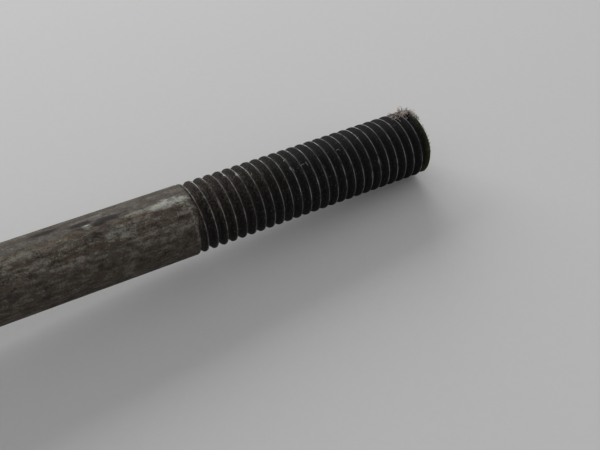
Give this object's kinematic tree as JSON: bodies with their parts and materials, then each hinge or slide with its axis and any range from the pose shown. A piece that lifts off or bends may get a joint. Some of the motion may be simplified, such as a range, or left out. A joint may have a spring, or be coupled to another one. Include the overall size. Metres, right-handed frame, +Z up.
{
  "type": "spare wheel hold-down bolt",
  "caption": "Long one-piece steel bolt with a plain hexagon head, a plain round shank and a threaded end of the same diameter.",
  "frame": {"origin": "on the bolt's axis, at the bearing face under the head", "axes": "+X along the axis from the head to the threaded tip, +Z up with one flat of the head facing down"},
  "size_m": [0.129, 0.0278, 0.024],
  "materials": {
    "bare_steel": "bare carbon steel with mill scale, grey-brown patina and dark, oily thread flanks"
  },
  "bodies": {
    "root": {"hold_down_bolt": "bare_steel"}
  },
  "joints": []
}
